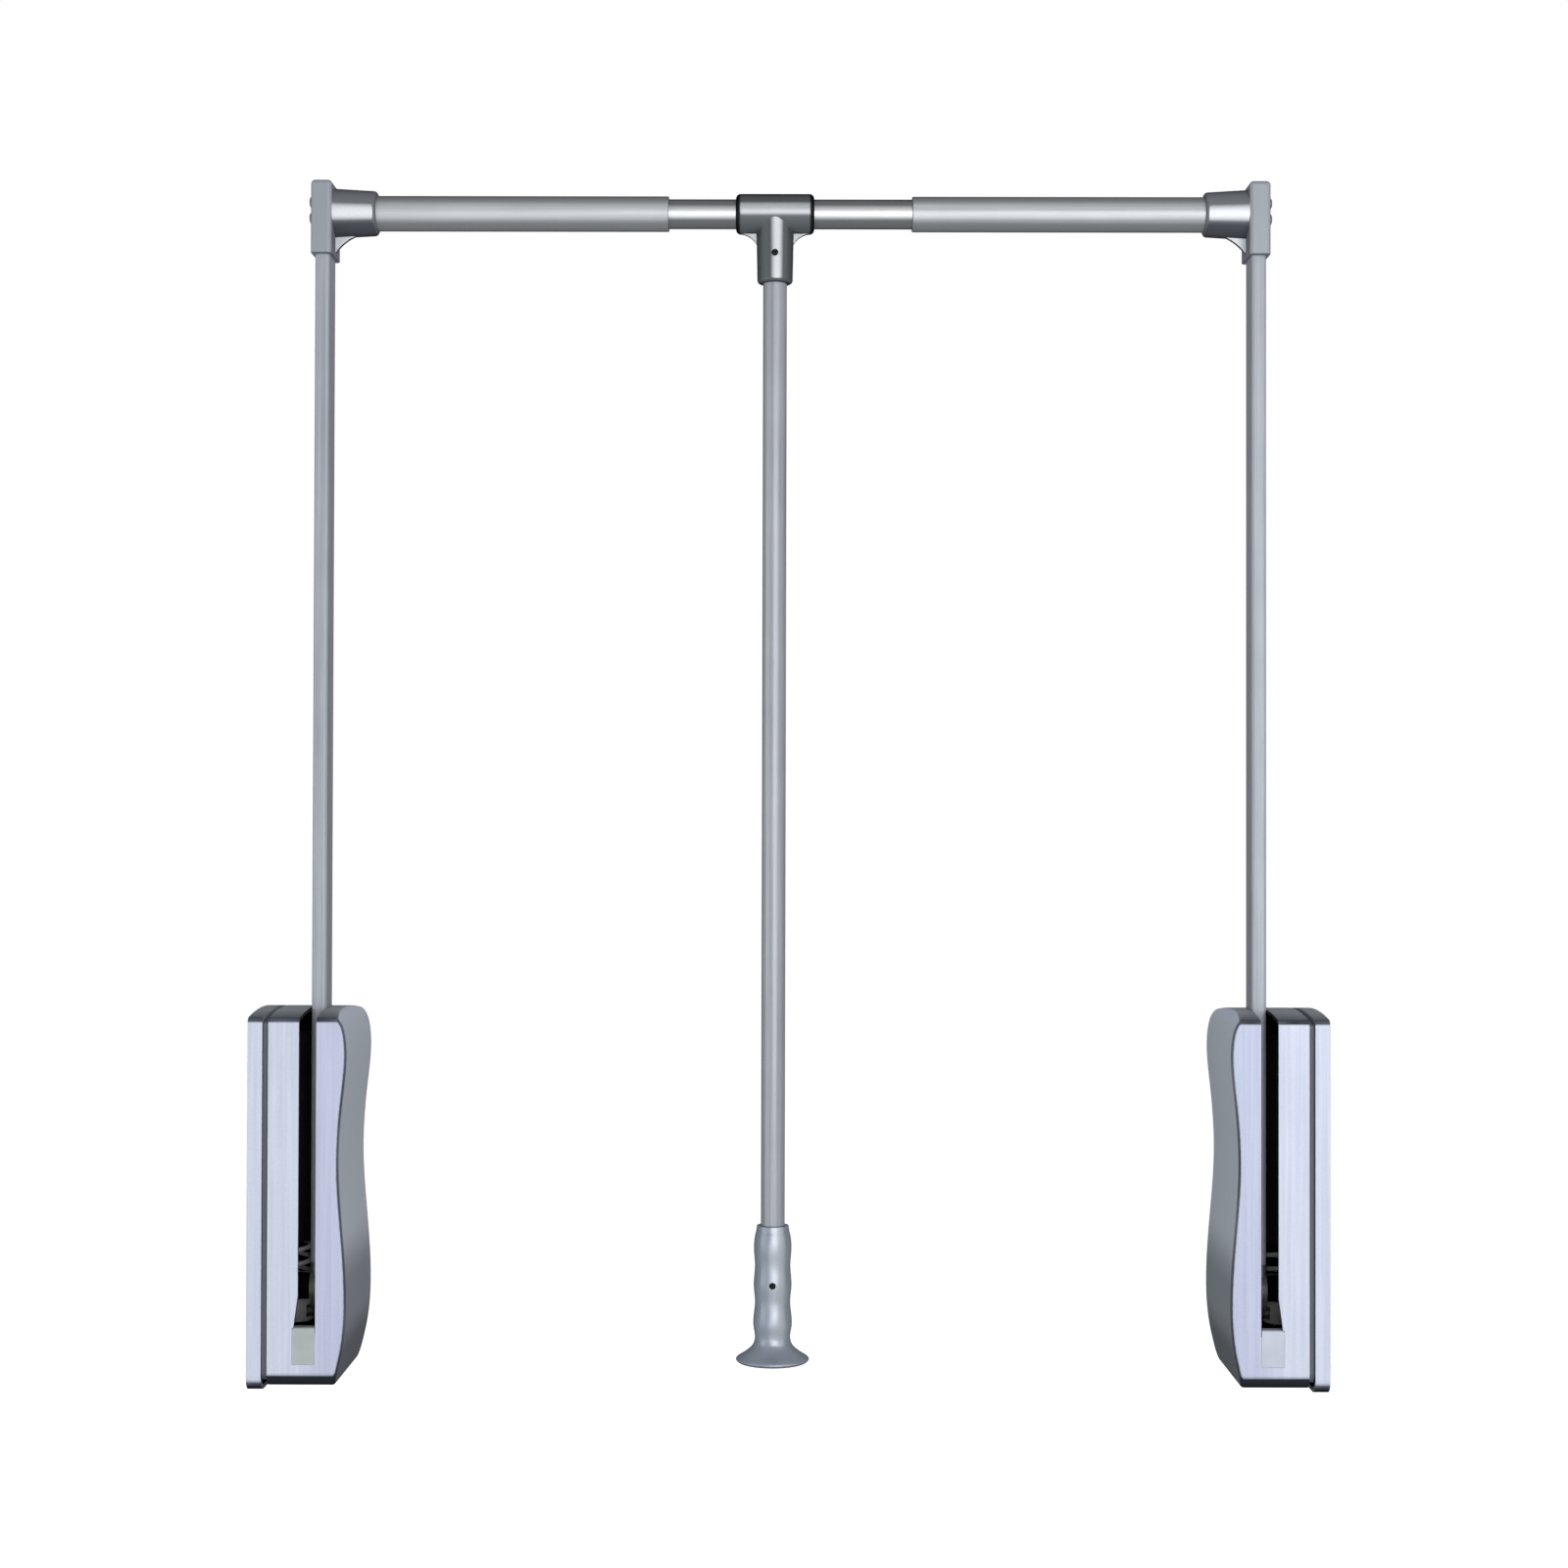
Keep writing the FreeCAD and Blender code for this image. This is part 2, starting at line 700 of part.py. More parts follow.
def spring_carriage():
    """Piston under the spring, slotted for the crank pin, with a key in the plate's guides."""
    low = Vector(spring_plane, spring_behind_pivot, carriage_foot)
    high = Vector(spring_plane, spring_behind_pivot, spring_foot - press_gap)
    body = bar(carriage_radius, low, high)
    body = body.makeChamfer(carriage_floor / 2, edges_at(body, "Z", carriage_foot))
    key_start = wall_face + plate_base + slide_gap
    key = box((key_start, spring_plane), about(spring_behind_pivot, carriage_key_width),
              (carriage_foot + carriage_floor, sleeve_foot - pin_travel - free_gap))
    slot_start = spring_plane - carriage_radius + carriage_floor
    return body.fuse(key).cut(pin_slot((slot_start, spring_plane + 2 * carriage_radius))).removeSplitter()


# Return damper

def damper_point(height):
    return Vector(damper_plane, spring_behind_pivot, height)


def damper_body():
    barrel = bar(damper_radius, damper_point(damper_foot), damper_point(damper_head))
    barrel = barrel.makeFillet(damper_radius / 4, edges_at(barrel, "Z", damper_head))
    gland = damper_point(damper_foot + damper_gland)
    barrel = barrel.cut(bar(damper_bore_radius, gland, damper_point(damper_head - damper_gland)))
    return barrel.cut(bar(damper_rod_radius + running_gap, damper_point(damper_foot), gland))


def damper_rod():
    """Rod with its piston above and a slotted fork on the crank pin below."""
    fork_top = pin_low + damper_fork_height / 2
    piston_low = damper_foot + damper_gland + damper_piston_drop
    rod = bar(damper_rod_radius, damper_point(fork_top - damper_rod_radius), damper_point(piston_low))
    piston = bar(damper_bore_radius - running_gap, damper_point(piston_low),
                 damper_point(piston_low + damper_piston))
    across = about(damper_plane, damper_fork_thickness)
    fork = box(across, about(pin_slot_middle, damper_fork_width), about(pin_low, damper_fork_height))
    fork = fork.makeFillet(damper_rod_radius, edges_along(fork, ALONG_X))
    fork = fork.cut(pin_slot(about(damper_plane, 2 * damper_fork_thickness)))
    return fork.fuse(rod).fuse(piston).removeSplitter()


# Corner connector

def side_screw_heights():
    return (rail_height + side_screw_rise, rail_height - side_screw_drop)


def side_screw_shanks(radius):
    start = arm_plane - block_width / 2
    end = start + block_width
    shanks = [bar(radius, Vector(start, 0, z), Vector(end, 0, z)) for z in side_screw_heights()]
    return Part.makeCompound(shanks)


def gusset():
    """Thin web under the rail socket, with a hollow free edge."""
    foot = Vector(socket_start - block_round, -gusset_thickness / 2, block_foot + block_round)
    root = Vector(foot.x, foot.y, rail_height)
    tip = Vector(socket_start + gusset_length, foot.y, rail_height - socket_root_radius + block_round)
    crest = Vector(tip.x, foot.y, rail_height)
    heel = Vector(socket_start, foot.y, foot.z)
    hollow = Vector((heel.x + tip.x) / 2 - block_round / 2, foot.y, (heel.z + tip.z) / 2 + block_round / 2)
    edges = [
        Part.LineSegment(foot, heel).toShape(),
        Part.Arc(heel, hollow, tip).toShape(),
        Part.LineSegment(tip, crest).toShape(),
        Part.LineSegment(crest, root).toShape(),
        Part.LineSegment(root, foot).toShape()]
    return prism(edges, ALONG_Y * gusset_thickness)


def corner_connector():
    block = box(about(arm_plane, block_width), about(0, block_depth), (block_foot, block_top))
    block = block.makeFillet(block_round, edges_along(block, ALONG_Z) + edges_at(block, "Z", block_top))
    root = Vector(arm_plane, 0, rail_height)
    mouth = Vector(socket_mouth, 0, rail_height)
    horn = cone(socket_root_radius, socket_mouth_radius, root, mouth)
    horn = horn.makeFillet(socket_lip, edges_at(horn, "X", socket_mouth))
    piece = block.fuse(horn).fuse(gusset())
    pocket = rounded_bar(about(arm_plane, arm_width + 2 * press_gap), about(0, arm_depth + 2 * press_gap),
                         (block_foot, arm_top + press_gap), arm_corner)
    seat = Vector(socket_start, 0, rail_height)
    piece = piece.cut(pocket).cut(bar(outer_tube_radius + press_gap, seat, mouth))
    return piece.cut(side_screw_shanks(side_screw_radius + press_gap)).removeSplitter()


def connector_screws():
    screws = []
    face = arm_plane - block_width / 2
    for z in side_screw_heights():
        start = Vector(face - press_gap, 0, z)
        top = start - ALONG_X * side_screw_head
        head = bar(side_screw_head_radius, top, start)
        head = head.makeFillet(side_screw_head / 2, edges_at(head, "X", top.x))
        shank = bar(side_screw_radius, start, start + ALONG_X * (block_width - press_gap))
        recess = bar(side_screw_recess, top, top + ALONG_X * side_screw_recess_depth)
        screws.append(head.fuse(shank).cut(recess).removeSplitter())
    return Part.makeCompound(screws)


# Rail

def rail_point(x):
    return Vector(x, 0, rail_height)


def outer_tube():
    start = rail_point(socket_start + press_gap)
    end = rail_point(-outer_tube_end)
    tube = pipe(outer_tube_radius, outer_tube_wall, start, end)
    return tube.makeFillet(outer_tube_lip, edges_at(tube, "X", end.x))


def slide_bush():
    end = rail_point(-outer_tube_end - outer_tube_lip)
    start = rail_point(end.x - bush_length)
    outer = outer_tube_radius - outer_tube_wall - press_gap
    return bar(outer, start, end).cut(bar(inner_tube_radius + running_gap, start, end))


def inner_tube():
    reach = inner_tube_length / 2
    return pipe(inner_tube_radius, inner_tube_wall, rail_point(-reach), rail_point(reach))


# Tee, pull rod and grip

def tee_web(side):
    """Hollow-edged web between the sleeve and the upright socket."""
    reach = side * (tee_root_radius + tee_rib_reach)
    top = rail_height - inner_tube_radius - tee_floor
    y = -tee_rib / 2
    root = Vector(tee_offset, y, top)
    tip = Vector(tee_offset + reach, y, top)
    lower = Vector(tip.x, y, rail_height - tee_radius)
    foot = Vector(tee_offset + side * (tee_root_radius - tee_floor), y, lower.z - tee_rib_drop)
    heel = Vector(tee_offset, y, foot.z)
    hollow = Vector((lower.x + foot.x) / 2 - side * tee_floor, y, (lower.z + foot.z) / 2 + tee_floor)
    edges = [
        Part.LineSegment(root, tip).toShape(),
        Part.LineSegment(tip, lower).toShape(),
        Part.Arc(lower, hollow, foot).toShape(),
        Part.LineSegment(foot, heel).toShape(),
        Part.LineSegment(heel, root).toShape()]
    return prism(edges, ALONG_Y * tee_rib)


def rod_top():
    return rail_height - tee_radius - tee_floor


def tee_connector():
    start = rail_point(tee_offset - tee_length / 2)
    end = rail_point(tee_offset + tee_length / 2)
    sleeve = bar(tee_radius, start, end)
    sleeve = sleeve.makeFillet(tee_round, edges_at(sleeve, "X", start.x) + edges_at(sleeve, "X", end.x))
    mouth = Vector(tee_offset, 0, rail_height - tee_drop)
    socket = cone(tee_root_radius, tee_mouth_radius, rail_point(tee_offset), mouth)
    socket = socket.makeFillet(tee_mouth_round, edges_at(socket, "Z", mouth.z))
    tee = sleeve.fuse(socket).fuse(tee_web(-1)).fuse(tee_web(1))
    tee = tee.cut(bar(inner_tube_radius + running_gap, start, end))
    tee = tee.cut(bar(pull_rod_radius + press_gap, mouth, Vector(tee_offset, 0, rod_top())))
    return tee.cut(cross_hole(tee_screw_place())).removeSplitter()


def cross_hole(place):
    front = place - ALONG_Y * overrun
    seat = place + ALONG_Y * (cross_screw_head + press_gap)
    inside = place + ALONG_Y * (pull_rod_radius)
    head = bar(cross_screw_head_radius + press_gap, front, seat)
    return head.fuse(bar(cross_screw_radius + press_gap, front, inside))


def tee_screw_place():
    share = tee_screw_drop / tee_drop
    radius = tee_root_radius + (tee_mouth_radius - tee_root_radius) * share
    return Vector(tee_offset, cross_screw_sink - radius, rail_height - tee_screw_drop)


def grip_screw_place():
    swell_share = max(share for height, share in grip_body_shares[1:])
    return Vector(tee_offset, cross_screw_sink - grip_radius * swell_share, grip_screw_height)


def pull_rod():
    top = Vector(tee_offset, 0, rod_top() - press_gap)
    foot = Vector(tee_offset, 0, grip_foot + grip_floor + press_gap)
    rod = pipe(pull_rod_radius, pull_rod_wall, foot, top)
    return rod.cut(cross_hole(tee_screw_place())).cut(cross_hole(grip_screw_place()))


def handle_grip():
    """Turned grip with three finger swells and a flared foot."""

    def point(height_share, radius_share):
        return Vector(tee_offset + grip_radius * radius_share, 0, grip_foot + grip_length * height_share)

    flange = Part.BSplineCurve()
    flange.interpolate([point(*shares) for shares in grip_flange_shares])
    body = Part.BSplineCurve()
    body.interpolate([point(*shares) for shares in grip_body_shares])
    collar = point(1.0, grip_collar_share)
    crown = Vector(tee_offset, 0, collar.z)
    base = Vector(tee_offset, 0, grip_foot)
    edges = [
        flange.toShape(),
        body.toShape(),
        Part.LineSegment(point(*grip_body_shares[-1]), collar).toShape(),
        Part.LineSegment(collar, crown).toShape(),
        Part.LineSegment(crown, base).toShape(),
        Part.LineSegment(base, point(*grip_flange_shares[0])).toShape()]
    grip = Part.Face(Part.Wire(edges)).revolve(base, ALONG_Z, 360)
    bore_start = Vector(tee_offset, 0, grip_foot + grip_floor)
    grip = grip.cut(bar(pull_rod_radius + press_gap, bore_start, crown))
    return grip.cut(cross_hole(grip_screw_place()))


# Export

def mirrored(shape):
    return shape.mirror(ORIGIN, ALONG_X)


def moved_across(shape):
    """The right spring is the same winding as the left one, so it is moved and not mirrored."""
    copy = shape.copy()
    copy.translate(ALONG_X * (-2 * spring_plane))
    return copy


paired = {
    "wall_plate": wall_plate, "housing_cover": housing_cover, "stop_pad": stop_pad,
    "cover_screws": cover_screws, "pivot_axle": pivot_axle, "axle_clip": axle_clip,
    "spring_sleeve": spring_sleeve, "damper_body": damper_body, "arm_lever": arm_lever,
    "axle_bushes": axle_bushes, "crank_pin": crank_pin, "arm_tube": arm_tube,
    "corner_connector": corner_connector, "connector_screws": connector_screws,
    "outer_tube": outer_tube, "slide_bush": slide_bush, "spring_carriage": spring_carriage,
    "damper_rod": damper_rod}
single = {
    "inner_tube": inner_tube, "tee_connector": tee_connector, "pull_rod": pull_rod,
    "handle_grip": handle_grip, "tee_screw": lambda: cross_screw(tee_screw_place()),
    "grip_screw": lambda: cross_screw(grip_screw_place())}

os.makedirs("parts", exist_ok=True)
for name, make in paired.items():
    piece = make()
    piece.exportStep("parts/left_" + name + ".step")
    mirrored(piece).exportStep("parts/right_" + name + ".step")
for name, make in single.items():
    make().exportStep("parts/" + name + ".step")
spring = lift_spring()
spring.exportStep("parts/left_lift_spring.step")
moved_across(spring).exportStep("parts/right_lift_spring.step")
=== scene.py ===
import bpy
import math
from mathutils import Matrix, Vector


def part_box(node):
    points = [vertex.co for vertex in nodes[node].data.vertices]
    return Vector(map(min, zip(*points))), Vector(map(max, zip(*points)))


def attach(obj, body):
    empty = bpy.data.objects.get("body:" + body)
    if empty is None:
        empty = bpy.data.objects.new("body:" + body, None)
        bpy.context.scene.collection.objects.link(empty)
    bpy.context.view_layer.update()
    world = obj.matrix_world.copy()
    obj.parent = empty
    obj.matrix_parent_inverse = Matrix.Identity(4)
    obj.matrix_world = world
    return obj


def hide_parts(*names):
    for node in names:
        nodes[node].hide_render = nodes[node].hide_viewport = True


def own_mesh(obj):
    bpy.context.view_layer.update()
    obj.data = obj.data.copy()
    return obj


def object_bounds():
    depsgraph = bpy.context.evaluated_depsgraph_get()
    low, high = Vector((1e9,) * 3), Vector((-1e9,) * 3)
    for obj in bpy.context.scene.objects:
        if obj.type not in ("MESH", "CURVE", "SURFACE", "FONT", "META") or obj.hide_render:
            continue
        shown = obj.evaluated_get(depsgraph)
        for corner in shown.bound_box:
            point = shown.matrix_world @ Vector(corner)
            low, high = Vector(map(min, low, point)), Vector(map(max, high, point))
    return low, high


# Looks of the wardrobe lift: a material for every CAD node, wound lift springs, the studio and the camera.
# Places are in metres in the frame's axes: +Z is up, -Y is the front and X = 0 is midway between the walls.

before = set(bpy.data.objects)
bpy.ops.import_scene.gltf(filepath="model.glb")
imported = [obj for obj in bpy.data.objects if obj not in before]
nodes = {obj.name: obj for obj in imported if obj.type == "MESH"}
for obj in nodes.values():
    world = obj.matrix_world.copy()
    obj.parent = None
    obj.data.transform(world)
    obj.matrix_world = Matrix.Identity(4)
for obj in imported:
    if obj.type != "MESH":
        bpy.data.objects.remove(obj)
cad_low, cad_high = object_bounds()
scene = bpy.context.scene

# Places from the frame, on the right side. The masks read |x|, so that they hold on both sides.
wall_x = cad_high.x
cover_low, cover_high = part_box("right_housing_cover")
cover_middle = (cover_low + cover_high) / 2
arm_low, arm_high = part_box("right_arm_tube")
arm_plane = (arm_low.x + arm_high.x) / 2
connector_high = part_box("right_corner_connector")[1]
tee_low, tee_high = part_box("tee_connector")
tee_middle = (tee_low.x + tee_high.x) / 2


# Shader building. In these functions spot is a place and turn is a normal, each split into X, Y and Z.
noise_middle = (0.3, 0.7)


def add(tree, kind, inputs=None, **settings):
    made = tree.nodes.new("ShaderNode" + kind)
    for key, value in settings.items():
        setattr(made, key, value)
    for key, value in (inputs or {}).items():
        socket = made.inputs[key]
        if isinstance(value, bpy.types.NodeSocket):
            tree.links.new(value, socket)
        else:
            socket.default_value = value
    return made


def math_node(tree, operation, *values, clamp=False):
    made = add(tree, "Math", dict(enumerate(values)), operation=operation, use_clamp=clamp)
    return made.outputs[0]


def product(tree, first, *others):
    for other in others:
        first = math_node(tree, "MULTIPLY", first, other)
    return first


def size_of(tree, value):
    return math_node(tree, "ABSOLUTE", value)


def near(tree, value, centre, reach):
    # 1 within that reach of the centre and 0 elsewhere
    return math_node(tree, "COMPARE", value, centre, reach)


def ramp(tree, value, start_at, end_at, bottom=0.0, top=1.0, smooth=False):
    # Goes from bottom to top between two values, the first of which may be the larger one
    made = add(tree, "MapRange", {"Value": value, "From Min": start_at, "From Max": end_at,
                                  "To Min": bottom, "To Max": top},
               interpolation_type="SMOOTHSTEP" if smooth else "LINEAR")
    return made.outputs[0]


def spread(tree, value, low, high):
    # Stretches the middle of a noise over the range from low to high
    return ramp(tree, value, *noise_middle, bottom=low, top=high)


def axes(tree, vector):
    return add(tree, "SeparateXYZ", {0: vector}).outputs


def blend(tree, factor, low, high, mode="MIX"):
    made = add(tree, "Mix", {0: factor, 6: low, 7: high}, data_type="RGBA", blend_type=mode)
    return made.outputs[2]


def noise(tree, place, scale=1.0, detail=3.0, roughness=0.55):
    made = add(tree, "TexNoise", {"Vector": place, "Scale": scale, "Detail": detail, "Roughness": roughness})
    return made.outputs["Fac"]


def stretched(tree, place, scale):
    return add(tree, "Mapping", {"Vector": place, "Scale": scale}).outputs[0]


def grey(value):
    return (value, value, value, 1.0)


def rgb(red, green, blue):
    return (red, green, blue, 1.0)


def start(name):
    made = bpy.data.materials.new(name)
    made.use_nodes = True
    tree = made.node_tree
    coords = add(tree, "TexCoord").outputs
    return made, tree, tree.nodes["Principled BSDF"], coords["Object"], coords["Normal"]


def edge_share(tree, radius, gain=3.4):
    # A softened normal, and a share that is 0 on flat faces and rises to 1 along edges
    soft = add(tree, "Bevel", {"Radius": radius}, samples=4).outputs[0]
    plain = add(tree, "NewGeometry").outputs["True Normal"]
    dot = add(tree, "VectorMath", {0: soft, 1: plain}, operation="DOT_PRODUCT").outputs["Value"]
    return soft, math_node(tree, "MULTIPLY", math_node(tree, "SUBTRACT", 1.0, dot), gain, clamp=True)


def bumped(tree, shader, height, strength, distance, normal):
    made = add(tree, "Bump", {"Height": height, "Strength": strength, "Distance": distance,
                              "Normal": normal})
    tree.links.new(made.outputs[0], shader.inputs["Normal"])


# Housing lacquer: silver outside, with painted shade on the sides, rounds, top, lower inner side, foot, slot
# walls and groove, edges painted paler as wear and highlight, and a bare black moulding inside that is
# darkened further as painted shade
lacquer_pale = rgb(0.556, 0.590, 0.700)
lacquer_deep = rgb(0.468, 0.505, 0.630)
lacquer_side_shade = rgb(0.54, 0.585, 0.65)
lacquer_worn_edge_highlight = rgb(0.74, 0.76, 0.82)
lacquer_gloss = rgb(0.15, 0.15, 0.17)
round_painted_shade = rgb(0.028, 0.031, 0.042)
inner_strip_painted_shade = rgb(0.85, 0.855, 0.915)
top_painted_shade = rgb(0.31, 0.34, 0.36)
brow_painted_shade = rgb(0.125, 0.140, 0.160)
low_side_painted_shade = rgb(0.098, 0.109, 0.117)
foot_painted_shade = rgb(0.022, 0.025, 0.030)
groove_painted_shade = rgb(0.150, 0.165, 0.180)
groove_crown_painted_shade = rgb(0.30, 0.325, 0.35)
slot_wall_painted_shade = grey(0.04)
bare_black_and_shade = grey(0.005)
streak_scale = (420.0, 420.0, 9.0)
cloud_scale = (38.0, 38.0, 16.0)
cloud_tone = grey(0.62)
cloud_share = 0.45
flake_scale = 1500.0
flake_tone = grey(0.80)
flake_share = 0.30
lacquer_edge_radius = 0.0009
lacquer_roughness = (0.34, 0.46)
bare_roughness = 0.25
lacquer_metallic = 0.08

# Components of a face's normal between which a finish sets in, and how far it goes
side_turn = (0.60, 0.90)
side_shade_share = 0.80
round_side_turn = (0.12, 0.55)
round_front_turn = (0.985, 0.90)
round_shares = (0.80, 0.97)
top_turn = (0.70, 0.93)
top_shade_share = 0.86
front_turn = (-0.90, -0.985)
overhang_turn = (-0.02, -0.20)
upright_share = 0.58
overhang_share = 0.85
cover_foot_turn = (-0.05, -0.28)
plate_foot_turn = (-0.45, -0.72)
foot_side_turn = (0.97, 0.80)
edge_wear_and_highlight_share = 0.25
slot_wall_turn = 0.7

# Where the finish changes
brow_start = cover_high.y - 0.028
brow_end = cover_high.y - 0.004
low_side_top = cover_low.z + 0.109
low_side_foot = cover_low.z + 0.069
groove_x = wall_x - 0.0124
groove_half = 0.00205
groove_sunk = 0.002
groove_top = cover_high.z - 0.011
slot_half = 0.0096
inner_margin = -0.0015
cavity_low = Vector((wall_x - 0.0535, cover_low.y + 0.0035, cover_low.z + 0.0045))
cavity_high = Vector((wall_x - 0.0045, cover_high.y - 0.0035, cover_high.z - 0.008))


def lacquer_texture(tree, place):
    # Brushed streaks, soft clouds and fine flakes
    streak = noise(tree, stretched(tree, place, streak_scale), detail=4.0)
    cloud = noise(tree, stretched(tree, place, cloud_scale), detail=2.0)
    flake = noise(tree, place, flake_scale, detail=1.0)
    colour = blend(tree, spread(tree, streak, 0.0, 1.0), lacquer_deep, lacquer_pale)
    colour = blend(tree, spread(tree, cloud, 0.0, cloud_share), colour, cloud_tone, "SOFT_LIGHT")
    colour = blend(tree, spread(tree, flake, 0.0, flake_share), colour, flake_tone, "SOFT_LIGHT")
    return colour, cloud, flake


def lacquer_round_shade_mask(tree, turn, cloud):
    # Mask for the rounds between the front or back face and the sides, where a patchy painted shade stands
    # in for a dark reflection
    level = size_of(tree, turn[1])
    from_side = ramp(tree, level, *round_side_turn)
    from_front = ramp(tree, level, *round_front_turn)
    return product(tree, from_side, from_front, spread(tree, cloud, *round_shares))


def inner_strip_shade_mask(tree, spot, turn):
    # Mask for the front strip between the slot and the wave, which gets painted shade, deeper and bluer
    front = ramp(tree, turn[1], *front_turn)
    slot_edges = (arm_plane + slot_half, arm_plane - slot_half)
    return product(tree, front, ramp(tree, size_of(tree, spot[0]), *slot_edges, smooth=True))


def low_side_shade_mask(tree, spot, turn):
    # Mask for the painted shade on the lower part of the wavy side, stronger where it overhangs
    inward = product(tree, turn[0], math_node(tree, "SIGN", spot[0]), -1.0)
    low = ramp(tree, spot[2], low_side_top, low_side_foot, smooth=True)
    depth = ramp(tree, turn[2], *overhang_turn, bottom=upright_share, top=overhang_share, smooth=True)
    return product(tree, ramp(tree, inward, *side_turn), low, depth)


def foot_shade_mask(tree, spot, turn):
    # Mask for the painted shade on the rounds at the foot, which start lower on the wall plate and end at
    # the inner side
    on_cover = math_node(tree, "LESS_THAN", size_of(tree, spot[0]), groove_x)
    cover_foot = product(tree, ramp(tree, turn[2], *cover_foot_turn, smooth=True), on_cover)
    plate_foot = ramp(tree, turn[2], *plate_foot_turn, smooth=True)
    foot = math_node(tree, "MAXIMUM", cover_foot, plate_foot)
    return product(tree, foot, ramp(tree, size_of(tree, turn[0]), *foot_side_turn))


def lacquer_shade_and_wear(tree, colour, spot, turn, edge, rounds):
    # Painted shade on the top, darker towards the front and back brow, on the lower inner side and on the
    # foot rounds; other edges are painted paler, as rubbed wear and a painted highlight
    above = ramp(tree, turn[2], *top_turn, top=top_shade_share, smooth=True)
    below = low_side_shade_mask(tree, spot, turn)
    # Edges are painted paler, as rubbed wear and as a painted highlight
    worn_and_lit = math_node(tree, "SUBTRACT", edge_wear_and_highlight_share, math_node(tree, "ADD", above, below), clamp=True)
    colour = blend(tree, product(tree, edge, worn_and_lit), colour, lacquer_worn_edge_highlight)
    brow = ramp(tree, size_of(tree, spot[1]), brow_start, brow_end)
    colour = blend(tree, above, colour, blend(tree, brow, top_painted_shade, brow_painted_shade))
    colour = blend(tree, product(tree, above, rounds), colour, round_painted_shade)
    colour = blend(tree, below, colour, low_side_painted_shade)
    return blend(tree, foot_shade_mask(tree, spot, turn), colour, foot_painted_shade)


def facing_inwards(tree, spot, turn):
    # Mask for faces that look towards the middle of their housing
    core_z = (cavity_low.z + cavity_high.z) / 2
    out_x = math_node(tree, "SUBTRACT", size_of(tree, spot[0]), cover_middle.x)
    out_z = math_node(tree, "SUBTRACT", spot[2], core_z)
    outward = product(tree, turn[0], math_node(tree, "SIGN", spot[0]), out_x)
    outward = math_node(tree, "MULTIPLY_ADD", turn[1], spot[1], outward)
    outward = math_node(tree, "MULTIPLY_ADD", turn[2], out_z, outward)
    return math_node(tree, "LESS_THAN", outward, inner_margin)


def within_cavity(tree, spot):
    # Mask for the room that the housing encloses
    centre = (cavity_low + cavity_high) / 2
    reach = (cavity_high - cavity_low) / 2
    across = near(tree, size_of(tree, spot[0]), centre.x, reach.x)
    deep = near(tree, spot[1], centre.y, reach.y)
    return product(tree, across, deep, near(tree, spot[2], centre.z, reach.z))


def lacquer_inside(tree, colour, spot, turn):
    # Adds painted shade on the walls of the slot and in the shadow groove, lighter where the groove crosses
    # the top, and the bare black inside, darkened further as painted shade, and gives the share without
    # lacquer
    beside_arm = near(tree, size_of(tree, spot[0]), arm_plane, slot_half)
    sideways = math_node(tree, "GREATER_THAN", size_of(tree, turn[0]), slot_wall_turn)
    colour = blend(tree, product(tree, beside_arm, sideways), colour, slot_wall_painted_shade)

    beside_wall = near(tree, size_of(tree, spot[0]), groove_x, groove_half)
    groove = product(tree, beside_wall, near(tree, spot[1], 0.0, cover_high.y - groove_sunk))
    up = ramp(tree, spot[2], groove_top, cover_high.z)
    colour = blend(tree, groove, colour, blend(tree, up, groove_painted_shade, groove_crown_painted_shade))

    inner = math_node(tree, "MAXIMUM", facing_inwards(tree, spot, turn), within_cavity(tree, spot))
    inner = math_node(tree, "SUBTRACT", inner, groove, clamp=True)
    # The inside is bare black moulding, darkened further as painted shade
    colour = blend(tree, inner, colour, bare_black_and_shade)
    return colour, math_node(tree, "MAXIMUM", inner, groove)


def lacquer(name):
    made, tree, shader, place, facing = start(name)
    spot = axes(tree, place)
    turn = axes(tree, facing)
    soft, edge = edge_share(tree, lacquer_edge_radius)
    colour, cloud, flake = lacquer_texture(tree, place)
    # The faces turned left and right are painted a shade darker and less blue, as painted shade
    beside = ramp(tree, size_of(tree, turn[0]), *side_turn, top=side_shade_share)
    colour = blend(tree, beside, colour, lacquer_side_shade)
    colour = blend(tree, inner_strip_shade_mask(tree, spot, turn), colour, inner_strip_painted_shade, "MULTIPLY")
    rounds = lacquer_round_shade_mask(tree, turn, cloud)
    colour = blend(tree, rounds, colour, round_painted_shade)
    colour = lacquer_shade_and_wear(tree, colour, spot, turn, edge, rounds)
    colour, bare = lacquer_inside(tree, colour, spot, turn)
    tree.links.new(colour, shader.inputs["Base Color"])
    rough = spread(tree, flake, *lacquer_roughness)
    rough = math_node(tree, "MULTIPLY_ADD", bare, bare_roughness, rough)
    tree.links.new(rough, shader.inputs["Roughness"])
    shader.inputs["Metallic"].default_value = lacquer_metallic
    shader.inputs["Specular IOR Level"].default_value = 0.0
    shader.inputs["Specular Tint"].default_value = lacquer_gloss
    bumped(tree, shader, flake, strength=0.10, distance=0.0002, normal=soft)
    return made


# Masks for the painted shade of a metal, and for a tone by place
flank_share = 0.95


